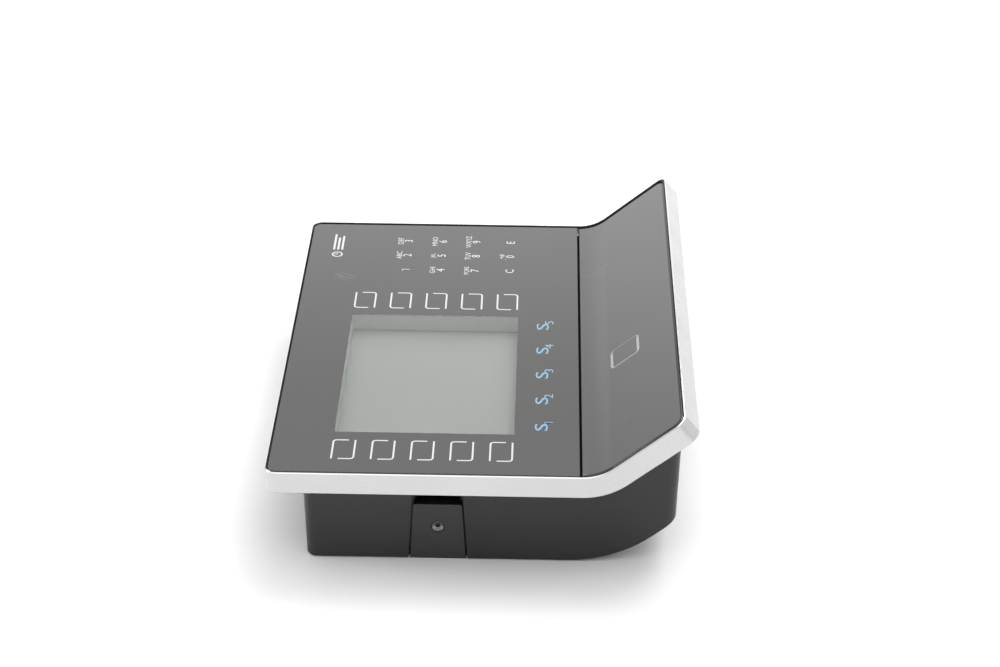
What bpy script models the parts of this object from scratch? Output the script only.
"""A wall terminal with a touch keypad and a raised reader shelf, lying on its back.

+X runs across the front from left to right, +Y from the shelf to the top edge, and +Z out of the wall.
The origin is on the wall, under the middle of the terminal. Lengths are in metres.

The front is bent once, where the shelf starts. Everything that lies along it (rim, glass, cover, chassis,
seal, reader) is drawn unrolled, as x, y and a height over the front, and is then folded into place.
"""

import math

import bmesh
import bpy
from mathutils import Matrix

# Driving dimensions
WIDTH = 0.257
HEIGHT = 0.2026
FRONT_Z = 0.056
RIM_DEPTH = 0.0115
RIM_LIP = 0.0009
RIM_WALL = 0.002
RIM_LEDGE = 0.005
LEDGE_TOP = -0.0036
LEDGE_BACK = -0.006
CORNER = 0.006
SHELF_ANGLE = math.radians(39.7)
SHELF_LENGTH = 0.0500
FOLD_RADIUS = 0.0226
FOLD_STEPS = 8
GAP = 0.0003

GLASS_TOP = -0.0003
GLASS_BACK = -0.0033
SEAM_Y = -0.0468
SEAM_GAP = 0.0011
WINDOW = (-0.0911, 0.0241, -0.0152, 0.0712)
DISPLAY_HEIGHT = -0.0100
CHASSIS_TOP = -0.0093
SEAL_BACK = -0.0127
HOUSING_FRONT = -0.0130

HOUSING_HALF_WIDTH = 0.1159
HOUSING_TOP_FRONT_Y = 0.0850
HOUSING_TOP_BACK_Y = 0.0840
HOUSING_END_FRONT_Y = -0.0940
HOUSING_END_BACK_Y = -0.0929
HOUSING_WALL = 0.0025
HOUSING_CORNER = 0.005
HOUSING_BACK_ROUND = 0.0008
BACK_ARC_Y = -0.0410
BACK_ARC_RADIUS = 0.0640
BACK_ARC_STEPS = 7
FLOOR_LOW = 0.0032
FLOOR_HIGH = 0.0057

PLATE_BOX = (-0.1126, 0.1126, -0.0377, 0.0812)
PLATE_THICKNESS = 0.0028
ENTRY = (-0.028, 0.028, 0.050, 0.074)
TONGUE_Y = 0.0207
TONGUE_TOP_Z = 0.0309
TONGUE_BACK_HALF = 0.01335
TONGUE_TOP_HALF = 0.0116
TONGUE_FACE_X = 0.1152
TONGUE_THICKNESS = 0.003
SLOT_CLEARANCE = 0.0006
SLOT_TOP_Z = 0.0365
LOCK_Z = 0.0182

BOARD_BOX = (-0.090, 0.090, -0.036, 0.042)
BOARD_LOW = 0.0123
BOARD_HIGH = 0.0139
PART_Z = BOARD_HIGH + GAP
BOARD_SCREWS = [(-0.084, -0.030), (0.084, -0.030), (-0.084, 0.036), (0.084, 0.036)]
POSTS = [(-0.106, -0.028), (0.106, -0.028), (-0.106, 0.070), (0.106, 0.070)]
TAMPER = (-0.070, 0.060)
RESET = (0.044, 0.006)
COIN_CELL = (0.066, -0.010)
MARK = (-0.0294, -0.0726)

# Sizes that follow from them
HALF_WIDTH = WIDTH / 2
TOP_Y = HEIGHT / 2
SIN = math.sin(SHELF_ANGLE)
COS = math.cos(SHELF_ANGLE)
FOLD_TANGENT = FOLD_RADIUS * math.tan(SHELF_ANGLE / 2)
FOLD_START_Y = -TOP_Y + RIM_DEPTH * SIN + SHELF_LENGTH * COS + FOLD_TANGENT
FOLD_ARC = FOLD_RADIUS * SHELF_ANGLE
FOLD_END_Y = FOLD_START_Y - FOLD_ARC
SHELF_END_Y = FOLD_END_Y - SHELF_LENGTH + FOLD_TANGENT
FOLD_CENTRE_Z = FRONT_Z + FOLD_RADIUS
FRONT_BOX = (-HALF_WIDTH, HALF_WIDTH, SHELF_END_Y, TOP_Y)
BOTH_SIDES = (-1, 1)

for old in list(bpy.data.objects):
    bpy.data.objects.remove(old, do_unlink=True)

PARTS = bpy.data.collections.new("touch_terminal")
CUTTERS = bpy.data.collections.new("touch_terminal_cutters")
CUTTERS.hide_render = True
for collection in (PARTS, CUTTERS):
    bpy.context.scene.collection.children.link(collection)


# Materials
def finish(name, colour, roughness, metallic=0.0):
    """A plain Principled material, made once for each name."""
    made = bpy.data.materials.get(name)
    if made:
        return made
    made = bpy.data.materials.new(name)
    made.use_nodes = True
    shader = made.node_tree.nodes["Principled BSDF"]
    shader.inputs["Base Color"].default_value = (*colour, 1)
    shader.inputs["Roughness"].default_value = roughness
    shader.inputs["Metallic"].default_value = metallic
    return made


def aluminium():
    return finish("satin_aluminium", (0.78, 0.78, 0.79), 0.32, 1.0)


def steel():
    return finish("zinc_plated_steel", (0.62, 0.62, 0.60), 0.35, 1.0)


def black_steel():
    return finish("blackened_steel", (0.03, 0.03, 0.032), 0.4, 1.0)


def black_plastic():
    return finish("black_moulded_plastic", (0.022, 0.022, 0.024), 0.45)


def connector_plastic():
    return finish("connector_plastic", (0.04, 0.04, 0.045), 0.5)


def green_plastic():
    return finish("terminal_green_plastic", (0.03, 0.26, 0.10), 0.45)


def circuit_board():
    return finish("circuit_board", (0.02, 0.16, 0.07), 0.4)


def black_rubber():
    return finish("black_rubber", (0.03, 0.03, 0.03), 0.75)


def white_film():
    return finish("white_film", (0.80, 0.80, 0.78), 0.5)


# Outlines
def inset_box(box, inset):
    return (box[0] + inset, box[1] - inset, box[2] + inset, box[3] - inset)


def box_round(centre, half_x, half_y):
    return (centre[0] - half_x, centre[0] + half_x, centre[1] - half_y, centre[1] + half_y)


def rectangle(box, radius=0.0, steps=4):
    """Anticlockwise corners of a rectangle, rounded where a radius is given."""
    low_x, high_x, low_y, high_y = box
    if not radius:
        return [(low_x, low_y), (high_x, low_y), (high_x, high_y), (low_x, high_y)]
    centres = [
        (high_x - radius, low_y + radius, -90),
        (high_x - radius, high_y - radius, 0),
        (low_x + radius, high_y - radius, 90),
        (low_x + radius, low_y + radius, 180),
    ]
    points = []
    for x, y, start in centres:
        for step in range(steps + 1):
            angle = math.radians(start + 90 * step / steps)
            points.append((x + radius * math.cos(angle), y + radius * math.sin(angle)))
    return points


def circle(centre, radius, steps=16):
    angles = [math.tau * step / steps for step in range(steps)]
    return [(centre[0] + radius * math.cos(a), centre[1] + radius * math.sin(a)) for a in angles]


# Solids
def face_outwards(solid):
    bmesh.ops.recalc_face_normals(solid, faces=solid.faces)
    if solid.calc_volume(signed=True) < 0:
        bmesh.ops.reverse_faces(solid, faces=solid.faces)


def add(name, solid, material, parent=None):
    """Puts a bmesh into the terminal as one named sub-part."""
    face_outwards(solid)
    mesh = bpy.data.meshes.new(name)
    solid.to_mesh(mesh)
    solid.free()
    mesh.materials.append(material)
    obj = bpy.data.objects.new(name, mesh)
    PARTS.objects.link(obj)
    obj.parent = parent
    return obj


def modify(target, operation, solids):
    """Joins solids to the target, or cuts them out of it. The solids don't touch each other."""
    joined = bmesh.new()
    for solid in solids:
        face_outwards(solid)
        mesh = bpy.data.meshes.new("piece")
        solid.to_mesh(mesh)
        solid.free()
        joined.from_mesh(mesh)
        bpy.data.meshes.remove(mesh)
    mesh = bpy.data.meshes.new(f"{target.name}_{operation.lower()}")
    joined.to_mesh(mesh)
    joined.free()
    cutter = bpy.data.objects.new(mesh.name, mesh)
    CUTTERS.objects.link(cutter)
    cutter.hide_render = True
    cutter.display_type = "WIRE"
    boolean = target.modifiers.new(cutter.name, "BOOLEAN")
    boolean.operation = operation
    boolean.object = cutter


def soften(obj, width, segments=2):
    bevel = obj.modifiers.new("rounded_edges", "BEVEL")
    bevel.width = width
    bevel.segments = segments
    bevel.angle_limit = math.radians(40)


def plate(outlines, low, high):
    """A flat solid between two heights. The first outline is its edge, and the others are holes."""
    curve = bpy.data.curves.new("outline", "CURVE")
    curve.dimensions = "2D"
    curve.fill_mode = "BOTH"
    curve.extrude = (high - low) / 2
    for points in outlines:
        spline = curve.splines.new("POLY")
        spline.points.add(len(points) - 1)
        for knot, (x, y) in zip(spline.points, points):
            knot.co = (x, y, 0, 1)
        spline.use_cyclic_u = True
    flat = bpy.data.objects.new("outline", curve)
    CUTTERS.objects.link(flat)
    graph = bpy.context.evaluated_depsgraph_get()
    mesh = bpy.data.meshes.new_from_object(flat.evaluated_get(graph))
    bpy.data.objects.remove(flat)
    solid = bmesh.new()
    solid.from_mesh(mesh)
    bmesh.ops.remove_doubles(solid, verts=solid.verts, dist=1e-6)
    bmesh.ops.translate(solid, verts=solid.verts, vec=(0, 0, (low + high) / 2))
    return solid


def slab(outline, low_x, high_x):
    """A solid with a side outline of (y, z) points, between two x."""
    solid = plate([outline], low_x, high_x)
    for vert in solid.verts:
        y, z, x = vert.co
        vert.co = (x, y, z)
    return solid


def block(box, low, high):
    return plate([rectangle(box)], low, high)


def rod(centre, radius, low, high, steps=16):
    """An upright cylinder."""
    solid = bmesh.new()
    middle = Matrix.Translation((centre[0], centre[1], (low + high) / 2))
    bmesh.ops.create_cone(
        solid, cap_ends=True, segments=steps, radius1=radius, radius2=radius, depth=high - low, matrix=middle
    )
    return solid


def moved(solid, matrix):
    bmesh.ops.transform(solid, matrix=matrix, verts=solid.verts)
    return solid


def turned(name, profile, material, steps=16, parent=None):
    """A solid of revolution about Z, from (radius, z) points that run down its outer side."""
    mesh = bpy.data.meshes.new(name)
    edges = [(i, i + 1) for i in range(len(profile) - 1)]
    mesh.from_pydata([(radius, 0, z) for radius, z in profile], edges, [])
    mesh.materials.append(material)
    obj = bpy.data.objects.new(name, mesh)
    PARTS.objects.link(obj)
    obj.parent = parent
    screw = obj.modifiers.new("turned", "SCREW")
    screw.steps = steps
    screw.render_steps = steps
    screw.use_merge_vertices = True
    screw.merge_threshold = 0.00001
    return obj


def swept_frame(box, radius, profile):
    """A closed frame: each (inset, height) point of the profile runs once round the box."""
    solid = bmesh.new()
    loops = []
    for inset, height in profile:
        corner = max(radius - inset, 0.0004)
        outline = rectangle(inset_box(box, inset), corner)
        loops.append([solid.verts.new((x, y, height)) for x, y in outline])
    for near, far in zip(loops, loops[1:] + loops[:1]):
        for i in range(len(near)):
            solid.faces.new((near[i - 1], near[i], far[i], far[i - 1]))
    return solid


# The fold
def on_front(x, y, height):
    """Carries a point of the unrolled front to its place on the folded one."""
    past = FOLD_START_Y - y
    if past <= 0:
        return x, y, FRONT_Z + height
    turn = min(past, FOLD_ARC) / FOLD_RADIUS
    straight = max(past - FOLD_ARC, 0)
    reach = FOLD_RADIUS - height
    return (
        x,
        FOLD_START_Y - reach * math.sin(turn) - straight * math.cos(turn),
        FOLD_CENTRE_Z - reach * math.cos(turn) + straight * math.sin(turn),
    )


def folded(solid):
    """Folds a solid that was drawn on the unrolled front."""
    for step in range(FOLD_STEPS + 1):
        y = FOLD_START_Y - FOLD_ARC * step / FOLD_STEPS
        whole = solid.verts[:] + solid.edges[:] + solid.faces[:]
        bmesh.ops.bisect_plane(solid, geom=whole, dist=1e-7, plane_co=(0, y, 0), plane_no=(0, 1, 0))
    for vert in solid.verts:
        vert.co = on_front(*vert.co)
    return solid


# Rim, glass and reader cover
def rim(parent):
    chamfer = 0.0005
    profile = [
        (0, -RIM_DEPTH + chamfer),
        (0, -chamfer),
        (chamfer, 0),
        (RIM_LIP, 0),
        (RIM_LIP, LEDGE_TOP),
        (RIM_LEDGE, LEDGE_TOP),
        (RIM_LEDGE, LEDGE_BACK),
        (RIM_WALL, LEDGE_BACK),
        (RIM_WALL, -RIM_DEPTH),
        (chamfer, -RIM_DEPTH),
    ]
    add("rim_frame", folded(swept_frame(FRONT_BOX, CORNER, profile)), aluminium(), parent)


def front_panels(parent):
    inside = inset_box(FRONT_BOX, RIM_LIP + GAP)
    corner = CORNER - RIM_LIP
    printed = finish("black_printed_glass", (0.012, 0.012, 0.013), 0.08)
    left, right, low, high = inside

    glass = rectangle((left, right, SEAM_Y + SEAM_GAP / 2, high), corner)
    # The corners next to the seam stay sharp.
    glass = [(left, SEAM_Y + SEAM_GAP / 2), (right, SEAM_Y + SEAM_GAP / 2)] + glass[5:15]
    add("front_glass", plate([glass, rectangle(WINDOW)], GLASS_BACK, GLASS_TOP), printed, parent)
    clear = finish("clear_window_glass", (0.55, 0.60, 0.57), 0.05)
    window = inset_box(WINDOW, GAP)
    add("display_window", block(window, GLASS_BACK, GLASS_TOP), clear, parent)

    cover = rectangle((left, right, low, SEAM_Y - SEAM_GAP / 2), corner)
    cover = cover[:5] + [(right, SEAM_Y - SEAM_GAP / 2), (left, SEAM_Y - SEAM_GAP / 2)] + cover[15:]
    add("reader_cover", folded(plate([cover], GLASS_BACK, GLASS_TOP)), printed, parent)
    for name in ("front_glass", "display_window"):
        bpy.data.objects[name].location.z = FRONT_Z


def front_chassis(parent):
    """The moulded plate behind the glass, with a rib that backs the seam between glass and cover."""
    display_hole = rectangle(box_round(display_centre(), 0.0655, 0.051))
    cable_hole = rectangle((0.019, 0.045, -0.079, -0.068))
    outer = rectangle(inset_box(FRONT_BOX, RIM_WALL + GAP), CORNER - RIM_WALL)
    body = folded(plate([outer, display_hole, cable_hole], -RIM_DEPTH, CHASSIS_TOP))
    chassis = add("front_chassis", body, black_plastic(), parent)
    seam_rib = folded(block((-0.1225, 0.1225, -0.0515, -0.0440), CHASSIS_TOP - GAP, GLASS_BACK - GAP))
    modify(chassis, "UNION", [seam_rib])


def standoffs(parent):
    """The brass posts between chassis and housing, which the housing screws go into from the rear."""
    low = FLOOR_HIGH + 2 * GAP
    high = FRONT_Z - RIM_DEPTH - GAP
    profile = [(0, high), (0.004, high), (0.004, low), (0.0018, low), (0.0018, 0.020), (0, 0.020)]
    brass = finish("brass", (0.78, 0.62, 0.33), 0.3, 1.0)
    for number, (x, y) in enumerate(POSTS, 1):
        turned(f"chassis_standoff_{number}", profile, brass, 12, parent).location = (x, y, 0)


def housing_seal(parent):
    """The rubber strip between the chassis and the housing's front edge."""
    box = (-0.1149, 0.1149, -0.0930, 0.0845)
    profile = [(0, SEAL_BACK), (0, -RIM_DEPTH - GAP), (0.0015, -RIM_DEPTH - GAP), (0.0015, SEAL_BACK)]
    add("housing_seal", folded(swept_frame(box, 0.0045, profile)), black_rubber(), parent)


def key_sensor_board(parent):
    """The printed board behind the glass that feels a finger on a soft key or on the keypad."""
    outer = rectangle((-0.1225, 0.1225, -0.0433, 0.0955), 0.002, 2)
    window = rectangle(inset_box(WINDOW, -0.0026))
    top = GLASS_BACK - GAP
    board = add("key_sensor_board", plate([outer, window], top - 0.0009, top), circuit_board(), parent)
    board.location.z = FRONT_Z


# Display module
def display_centre():
    return ((WINDOW[0] + WINDOW[1]) / 2, (WINDOW[2] + WINDOW[3]) / 2)


def display(parent):
    lining = finish("grey_gasket_foam", (0.42, 0.43, 0.42), 0.8)
    outline = [rectangle(inset_box(WINDOW, -0.002)), rectangle(WINDOW)]
    pieces = [add("display_gasket", plate(outline, DISPLAY_HEIGHT + GAP, GLASS_BACK - GAP), lining, parent)]

    centre = display_centre()
    profile = [
        (0, -0.0140),
        (0, -0.0092),
        (0.0051, -0.0092),
        (0.0051, -0.0097),
        (0.003, -0.0097),
        (0.003, -0.0140),
    ]
    bezel = swept_frame(box_round(centre, 0.065, 0.0505), 0.001, profile)
    pieces.append(add("display_bezel", bezel, steel(), parent))

    glass = finish("display_glass", (0.40, 0.44, 0.41), 0.25)
    panel = block(box_round(centre, 0.0612, 0.0467), -0.0124, DISPLAY_HEIGHT)
    pieces.append(add("display_panel", panel, glass, parent))
    light = block(box_round(centre, 0.0615, 0.047), -0.0180, -0.0128)
    pieces.append(add("display_backlight", light, white_film(), parent))
    for piece in pieces:
        piece.location.z = FRONT_Z


def ribbon(name, start, start_pull, end_pull, end, low_x, high_x, parent):
    """A flat cable whose side view is one smooth curve between two (y, z) ends."""
    thickness = 0.0008
    steps = 14
    upper = []
    lower = []
    for step in range(steps + 1):
        t = step / steps
        weights = ((1 - t) ** 3, 3 * t * (1 - t) ** 2, 3 * t * t * (1 - t), t**3)
        slopes = (-3 * (1 - t) ** 2, 3 * (1 - t) * (1 - 3 * t), 3 * t * (2 - 3 * t), 3 * t * t)
        knots = (start, start_pull, end_pull, end)
        y, z = (sum(w * knot[axis] for w, knot in zip(weights, knots)) for axis in (0, 1))
        run_y, run_z = (sum(w * knot[axis] for w, knot in zip(slopes, knots)) for axis in (0, 1))
        scale = thickness / 2 / math.hypot(run_y, run_z)
        upper.append((y - run_z * scale, z + run_y * scale))
        lower.append((y + run_z * scale, z - run_y * scale))
    cable = finish("grey_ribbon_cable", (0.55, 0.55, 0.54), 0.5)
    add(name, slab(upper + lower[::-1], low_x, high_x), cable, parent)


# Rear housing
def side_outline(inset, back, front):
    """(y, z) corners of the housing's side, from its top front corner round the back to the shelf end."""
    arc_radius = BACK_ARC_RADIUS - inset
    start = math.acos((BACK_ARC_RADIUS - back) / arc_radius)
    points = [
        (HOUSING_TOP_FRONT_Y - inset, FRONT_Z + front),
        (HOUSING_TOP_BACK_Y - inset, back),
    ]
    for step in range(BACK_ARC_STEPS + 1):
        angle = start + (SHELF_ANGLE - start) * step / BACK_ARC_STEPS
        y = BACK_ARC_Y - arc_radius * math.sin(angle)
        points.append((y, BACK_ARC_RADIUS - arc_radius * math.cos(angle)))
    slope_y, slope_z = points[-1]
    end_back = HOUSING_END_BACK_Y + inset
    points.append((end_back, slope_z + (slope_y - end_back) * math.tan(SHELF_ANGLE)))

    end_front = HOUSING_END_FRONT_Y + inset
    _, fold_y, fold_z = on_front(0, FOLD_END_Y, front)
    points.append((end_front, fold_z + (fold_y - end_front) * math.tan(SHELF_ANGLE)))
    for step in range(FOLD_STEPS + 1):
        _, y, z = on_front(0, FOLD_END_Y + FOLD_ARC * step / FOLD_STEPS, front)
        points.append((y, z))
    return points


def round_edges(solid, edges, radius, segments):
    bmesh.ops.bevel(
        solid, geom=edges, offset=radius, segments=segments, profile=0.5, affect="EDGES", clamp_overlap=True
    )


def housing_solid(inset, back, front):
    """The housing's outer form, or its inner one where an inset is given."""
    half = HOUSING_HALF_WIDTH - inset
    solid = slab(side_outline(inset, back, front), -half, half)
    bmesh.ops.dissolve_limit(solid, angle_limit=0.001, verts=solid.verts, edges=solid.edges)
    bmesh.ops.recalc_face_normals(solid, faces=solid.faces)
    corners = []
    for edge in solid.edges:
        normals = [face.normal for face in edge.link_faces]
        if max(abs(n.x) for n in normals) > 0.9 and max(abs(n.y) for n in normals) > 0.9:
            corners.append(edge)
    round_edges(solid, corners, HOUSING_CORNER - inset, 4)
    if not inset:
        back_edges = [
            edge for edge in solid.edges if sum(face.normal.z < -0.2 for face in edge.link_faces) == 1
        ]
        round_edges(solid, back_edges, HOUSING_BACK_ROUND, 3)
    return solid


def tongue_outline(clearance, back, top):
    """(y, z) outline of a wall plate's tongue, or with a clearance that of the slot round it."""
    slope = (TONGUE_BACK_HALF - TONGUE_TOP_HALF) / TONGUE_TOP_Z
    low_half = TONGUE_BACK_HALF + clearance - slope * back
    top_half = TONGUE_BACK_HALF + clearance - slope * top
    rounding = 0.0012
    points = [(TONGUE_Y - low_half, back), (TONGUE_Y + low_half, back)]
    for side, start in ((1, 0), (-1, 90)):
        for step in range(4):
            angle = math.radians(start + 30 * step)
            y = TONGUE_Y + side * (top_half - rounding) + rounding * math.cos(angle)
            points.append((y, top - rounding + rounding * math.sin(angle)))
    return points


def side_span(side, near, far):
    """Low and high x of something between two distances from the middle, on one side."""
    return sorted((side * near, side * far))


def rear_housing(parent):
    tub = add("rear_housing", housing_solid(0, 0, HOUSING_FRONT), black_plastic(), parent)
    tub.location.z = GAP
    inner = housing_solid(HOUSING_WALL, FLOOR_HIGH, HOUSING_FRONT + 0.010)
    modify(tub, "DIFFERENCE", [inner])

    pocket_walls = []
    for side in BOTH_SIDES:
        low_x, high_x = side_span(side, 0.1088, 0.1140)
        outline = rectangle((TONGUE_Y - 0.0167, TONGUE_Y + 0.0167, FLOOR_HIGH - 0.0005, 0.0390))
        pocket_walls.append(slab(outline, low_x, high_x))
    board_posts = [rod(centre, 0.0035, FLOOR_HIGH - 0.0005, BOARD_LOW - GAP, 12) for centre in BOARD_SCREWS]
    modify(tub, "UNION", pocket_walls + board_posts)

    plate_room = block(inset_box(PLATE_BOX, -GAP), -0.001, FLOOR_LOW)
    modify(tub, "DIFFERENCE", [plate_room])
    pockets = []
    inner_openings = []
    for side in BOTH_SIDES:
        low_x, high_x = side_span(side, 0.1114, 0.1170)
        pockets.append(slab(tongue_outline(SLOT_CLEARANCE, -0.001, SLOT_TOP_Z), low_x, high_x))
        low_x, high_x = side_span(side, 0.1050, 0.1120)
        shank_slot = rectangle((TONGUE_Y - 0.002, TONGUE_Y + 0.002, -0.001, LOCK_Z + 0.002))
        # Over the tongue, the pocket is open into the housing.
        opening_box = (TONGUE_Y - 0.0108, TONGUE_Y + 0.0108, TONGUE_TOP_Z - 0.001, SLOT_TOP_Z - 0.0004)
        over_tongue = rectangle(opening_box)
        inner_openings += [slab(shank_slot, low_x, high_x), slab(over_tongue, low_x, high_x)]
    modify(tub, "DIFFERENCE", pockets)
    modify(tub, "DIFFERENCE", inner_openings)

    holes = [block(ENTRY, 0, 0.010), rod(TAMPER, 0.0021, 0, 0.010, 12)]
    holes += [rod(centre, 0.0018, 0.0072, 0.020, 12) for centre in BOARD_SCREWS]
    for x, y in POSTS:
        sink = bmesh.new()
        middle = Matrix.Translation((x, y, 0.0042))
        bmesh.ops.create_cone(
            sink, cap_ends=True, segments=16, radius1=0.0042, radius2=0.0018, depth=0.0034, matrix=middle
        )
        holes.append(sink)
    modify(tub, "DIFFERENCE", holes)


def screw_profile(head_radius, shank_radius, head_depth, length, countersunk):
    """A screw with its head's top at z = 0 and a round drive recess, pointing down."""
    drive = 0.42 * head_radius
    profile = [(0, -0.5 * head_depth), (drive, -0.5 * head_depth), (drive, 0), (head_radius, 0)]
    if not countersunk:
        profile.append((head_radius, -head_depth))
    return profile + [(shank_radius, -head_depth), (shank_radius, -length), (0, -length)]


def housing_screws(parent):
    for number, (x, y) in enumerate(POSTS, 1):
        profile = screw_profile(0.0030, 0.0014, 0.0022, 0.014, True)
        screw = turned(f"housing_screw_{number}", profile, steel(), 12, parent)
        screw.location = (x, y, FLOOR_LOW + GAP)
        screw.rotation_euler.x = math.pi


def board_screws(parent):
    for number, (x, y) in enumerate(BOARD_SCREWS, 1):
        profile = screw_profile(0.0028, 0.0013, 0.0018, 0.0080, False)
        screw = turned(f"board_screw_{number}", profile, steel(), 12, parent)
        screw.location = (x, y, PART_Z + 0.0018)


# Wall plate and lock screws
def wall_plate(parent):
    low_x, high_x, low_y, high_y = PLATE_BOX
    corner = 0.003
    holes = [rectangle(inset_box(ENTRY, -0.003))]
    for x in (-0.080, 0.080):
        holes.append(circle((x, -0.020), 0.0025, 12))
        holes.append(rectangle(box_round((x, 0.068), 0.0025, 0.005), 0.0024, 3))
    base = plate([rectangle(PLATE_BOX, corner)] + holes, 0, PLATE_THICKNESS)
    obj = add("wall_plate", base, black_steel(), parent)
    tongues = []
    sinks = []
    for side in BOTH_SIDES:
        tongues.append(
            slab(
                tongue_outline(0, 0, TONGUE_TOP_Z),
                *side_span(side, TONGUE_FACE_X - TONGUE_THICKNESS, TONGUE_FACE_X),
            )
        )
        for radius_out, radius_in, near, far in (
            (0.0034, 0.0018, 0.1131, 0.1153),
            (0.0018, 0.0018, 0.1100, 0.1140),
        ):
            sink = bmesh.new()
            bmesh.ops.create_cone(
                sink, cap_ends=True, segments=16, radius1=radius_in, radius2=radius_out, depth=far - near
            )
            turn = Matrix.Rotation(side * math.pi / 2, 4, "Y")
            place = Matrix.Translation((side * (near + far) / 2, TONGUE_Y, LOCK_Z))
            sinks.append(moved(sink, place @ turn))
    modify(obj, "UNION", tongues)
    modify(obj, "DIFFERENCE", sinks[0::2])
    modify(obj, "DIFFERENCE", sinks[1::2])


def cable_grommet(parent):
    outer = rectangle(inset_box(ENTRY, -0.003 + GAP), 0.001, 2)
    inner = rectangle(inset_box(ENTRY, -0.001), 0.001, 2)
    add("cable_grommet", plate([outer, inner], GAP, PLATE_THICKNESS), black_rubber(), parent)


def lock_screws():
    """Countersunk screws with a dished head round the drive recess."""
    profile = [
        (0, -0.0017),
        (0.0011, -0.0017),
        (0.0011, -0.0009),
        (0.0025, 0),
        (0.0028, 0),
        (0.0014, -0.0017),
        (0.0014, -0.0085),
        (0, -0.0085),
    ]
    for side, name in ((-1, "lock_screw_left"), (1, "lock_screw_right")):
        screw = turned(name, profile, black_steel(), 16)
        screw.location = (side * (TONGUE_FACE_X - 0.0003), TONGUE_Y, LOCK_Z)
        screw.rotation_euler.y = side * math.pi / 2


# Electronics
def main_board(parent):
    holes = [circle(centre, 0.0018, 12) for centre in BOARD_SCREWS]
    board = plate([rectangle(BOARD_BOX, 0.002, 2)] + holes, BOARD_LOW, BOARD_HIGH)
    add("main_board", board, circuit_board(), parent)


def heat_sink(parent):
    """A comb-shaped aluminium extrusion over the processor."""
    half = 0.018
    base_z = PART_Z + 0.003
    top_z = PART_Z + 0.011
    fins = 6
    pitch = 2 * half / (fins - 0.5)
    outline = [(-half, PART_Z), (half, PART_Z)]
    for fin in reversed(range(fins)):
        left = -half + fin * pitch
        right = left + pitch / 2
        if fin == fins - 1:
            right = half
        outline += [(right, base_z), (right, top_z), (left, top_z), (left, base_z)]
    # The outermost fins stand flush with the base, so its corners aren't repeated.
    outline.pop(2)
    outline.pop()
    comb = slab(outline, -half, half)
    add("heat_sink", moved(comb, Matrix.Translation((-0.014, 0.006, 0))), aluminium(), parent)


def connectors(parent):
    jack_box = (-0.062, -0.046, 0.021, 0.042)
    jack = add("network_jack", block(jack_box, PART_Z, PART_Z + 0.0135), steel(), parent)
    modify(jack, "DIFFERENCE", [block((-0.060, -0.048, 0.027, 0.043), PART_Z + 0.003, PART_Z + 0.011)])

    for name, low_x, ways in (("power_terminal_block", -0.038, 5), ("io_terminal_block", -0.006, 8)):
        pitch = 0.00508
        box = (low_x, low_x + pitch * ways, 0.030, 0.041)
        body = add(name, block(box, PART_Z, PART_Z + 0.010), green_plastic(), parent)
        wire_ways = []
        screw_ways = []
        for way in range(ways):
            x = low_x + pitch * (way + 0.5)
            wire_ways.append(block((x - 0.0015, x + 0.0015, 0.0375, 0.042), PART_Z + 0.0015, PART_Z + 0.0045))
            screw_ways.append(rod((x, 0.0345), 0.0016, PART_Z + 0.0075, PART_Z + 0.011, 8))
        modify(body, "DIFFERENCE", wire_ways + screw_ways)

    header = block((0.022, 0.042, -0.034, -0.026), PART_Z, PART_Z + 0.006)
    add("main_header", header, connector_plastic(), parent)
    header = block((-0.072, -0.052, -0.030, -0.024), PART_Z, PART_Z + 0.006)
    add("display_header", header, connector_plastic(), parent)


def board_parts(parent):
    relay = finish("relay_blue_plastic", (0.03, 0.10, 0.35), 0.4)
    soften(add("relay", block((0.042, 0.061, 0.022, 0.0375), PART_Z, PART_Z + 0.015), relay, parent), 0.0006)
    power = block((-0.084, -0.044, -0.018, 0.002), PART_Z, PART_Z + 0.010)
    soften(add("power_module", power, connector_plastic(), parent), 0.0006)
    for number, y in enumerate((0.009, 0.0215), 1):
        profile = [
            (0, 0.0150),
            (0.0041, 0.0150),
            (0.0047, 0.0144),
            (0.0047, 0.0024),
            (0.0043, 0.0018),
            (0.0047, 0.0012),
            (0.0047, 0),
            (0, 0),
        ]
        sleeve = finish("capacitor_sleeve", (0.05, 0.05, 0.09), 0.35)
        capacitor = turned(f"capacitor_{number}", profile, sleeve, 16, parent)
        capacitor.location = (-0.073, y, PART_Z)
    ring = [
        (0, 0.0065),
        (0.0010, 0.0065),
        (0.0010, 0.0078),
        (0.0062, 0.0078),
        (0.0068, 0.0072),
        (0.0068, 0),
        (0, 0),
    ]
    buzzer = turned("buzzer", ring, connector_plastic(), 20, parent)
    buzzer.location = (0.024, 0.012, PART_Z)

    cup = [(0, 0.0012), (0.0104, 0.0012), (0.0104, 0.0045), (0.0122, 0.0045), (0.0122, 0), (0, 0)]
    turned("coin_cell_holder", cup, connector_plastic(), 24, parent).location = (*COIN_CELL, PART_Z)
    cell = [(0, 0.0032), (0.0094, 0.0032), (0.0100, 0.0026), (0.0100, 0), (0, 0)]
    turned("coin_cell", cell, steel(), 24, parent).location = (*COIN_CELL, PART_Z + 0.0015)


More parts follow.
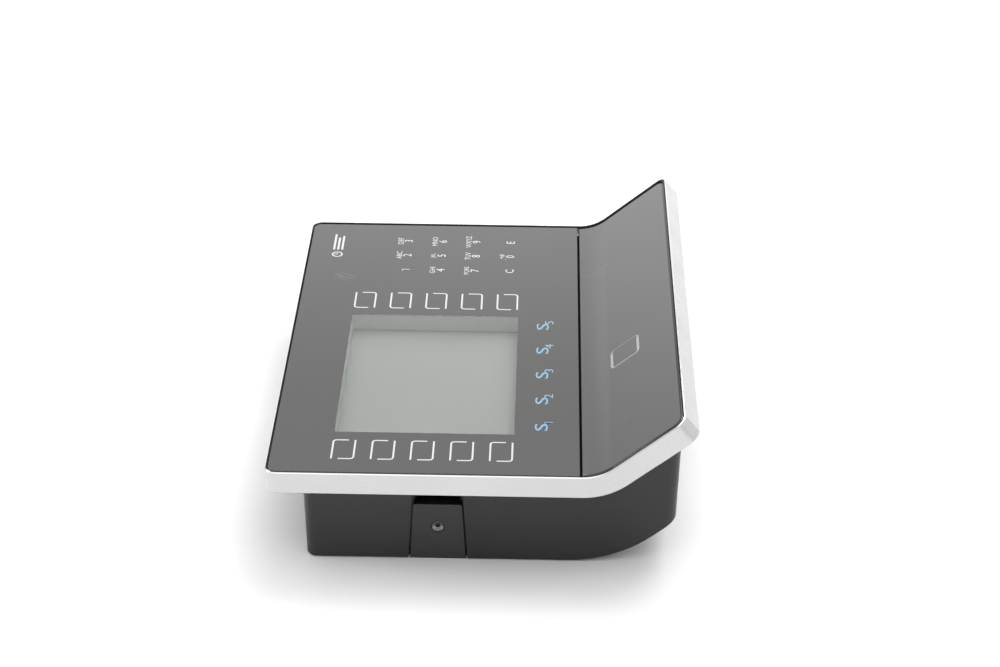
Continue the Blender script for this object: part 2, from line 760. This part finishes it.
def switches(parent):
    """The address switches, the reset button's base and the tamper switch."""
    low_x, low_y = 0.008, -0.020
    base = add(
        "dip_switch_block",
        block((low_x, low_x + 0.0208, low_y, low_y + 0.0098), PART_Z, PART_Z + 0.0050),
        finish("switch_red_plastic", (0.45, 0.02, 0.02), 0.45),
        parent,
    )
    windows = []
    for way in range(8):
        x = low_x + 0.0015 + 0.00254 * way
        windows.append(block((x - 0.0006, x + 0.0006, low_y + 0.003, low_y + 0.0068), PART_Z + 0.004, 0.03))
    modify(base, "DIFFERENCE", windows)

    body = add(
        "reset_switch_base", block(box_round(RESET, 0.003, 0.003), PART_Z, PART_Z + 0.0035), steel(), parent
    )
    modify(body, "DIFFERENCE", [rod(RESET, 0.0021, PART_Z + 0.0010, 0.03)])

    body = add(
        "tamper_switch",
        block(box_round(TAMPER, 0.010, 0.0032), FLOOR_HIGH + 2 * GAP, 0.0165),
        connector_plastic(),
        parent,
    )
    modify(body, "DIFFERENCE", [rod(TAMPER, 0.0021, 0, 0.0120)])


def pressed_pieces():
    """The two pieces that a spring returns: the reset button and the tamper plunger."""
    button = [(0, 0.0042), (0.0014, 0.0042), (0.0017, 0.0039), (0.0017, 0), (0, 0)]
    white = finish("white_plastic", (0.75, 0.75, 0.74), 0.4)
    turned("reset_button", button, white, 12).location = (*RESET, PART_Z + 0.0016)
    pin = [(0, 0.0062), (0.0017, 0.0062), (0.0017, 0.0006), (0.0009, 0), (0, 0)]
    turned("tamper_plunger", pin, white, 12).location = (*TAMPER, PLATE_THICKNESS + GAP)


def reader(parent):
    """The contactless reader under the shelf's cover."""
    board_box = (-0.0700, 0.0480, -0.0980, -0.0655)
    board = folded(block(board_box, CHASSIS_TOP + GAP, CHASSIS_TOP + GAP + 0.0016))
    add("reader_board", board, circuit_board(), parent)
    copper = finish("copper", (0.72, 0.38, 0.22), 0.35, 1.0)
    coil_box = inset_box(board_box, 0.002)
    coil_low = CHASSIS_TOP + 2 * GAP + 0.0016
    outline = [rectangle(coil_box, 0.004), rectangle(inset_box(coil_box, 0.0035), 0.002)]
    add("antenna_coil", folded(plate(outline, coil_low, coil_low + 0.0008)), copper, parent)
    guide_outer = rectangle(box_round(MARK, 0.0094, 0.0092), 0.003)
    guide_inner = rectangle(box_round(MARK, 0.0073, 0.0071), 0.001)
    guide_low = coil_low + 0.0011
    ring = folded(plate([guide_outer, guide_inner], guide_low, GLASS_BACK - GAP))
    add("light_guide_ring", ring, finish("milky_light_guide", (0.75, 0.77, 0.78), 0.3), parent)
    header = folded(block((0.022, 0.042, -0.0765, -0.0705), -0.0150, CHASSIS_TOP))
    add("reader_header", header, connector_plastic(), parent)


def ribbons(parent):
    _, y, z = on_front(0, -0.0735, -0.0150 - GAP)
    pull = (y - 0.012 * SIN, z - 0.012 * COS)
    ribbon("reader_ribbon", (y, z), pull, (-0.064, 0.0175), (-0.0343, 0.0175), 0.024, 0.040, parent)
    start = (-0.0150, FRONT_Z - 0.0180 - GAP)
    end = (-0.0270, PART_Z + 0.006 + GAP)
    ribbon("display_ribbon", start, (-0.0150, 0.030), (-0.0270, 0.028), end, -0.069, -0.055, parent)


def empty(name):
    made = bpy.data.objects.new(name, None)
    PARTS.objects.link(made)
    return made


def build():
    terminal = empty("terminal_body")
    rim(terminal)
    front_panels(terminal)
    front_chassis(terminal)
    standoffs(terminal)
    housing_seal(terminal)
    key_sensor_board(terminal)
    display(terminal)
    rear_housing(terminal)
    housing_screws(terminal)
    main_board(terminal)
    board_screws(terminal)
    heat_sink(terminal)
    connectors(terminal)
    board_parts(terminal)
    switches(terminal)
    reader(terminal)
    ribbons(terminal)
    mount = empty("wall_mount_body")
    wall_plate(mount)
    cable_grommet(mount)
    lock_screws()
    pressed_pieces()


build()
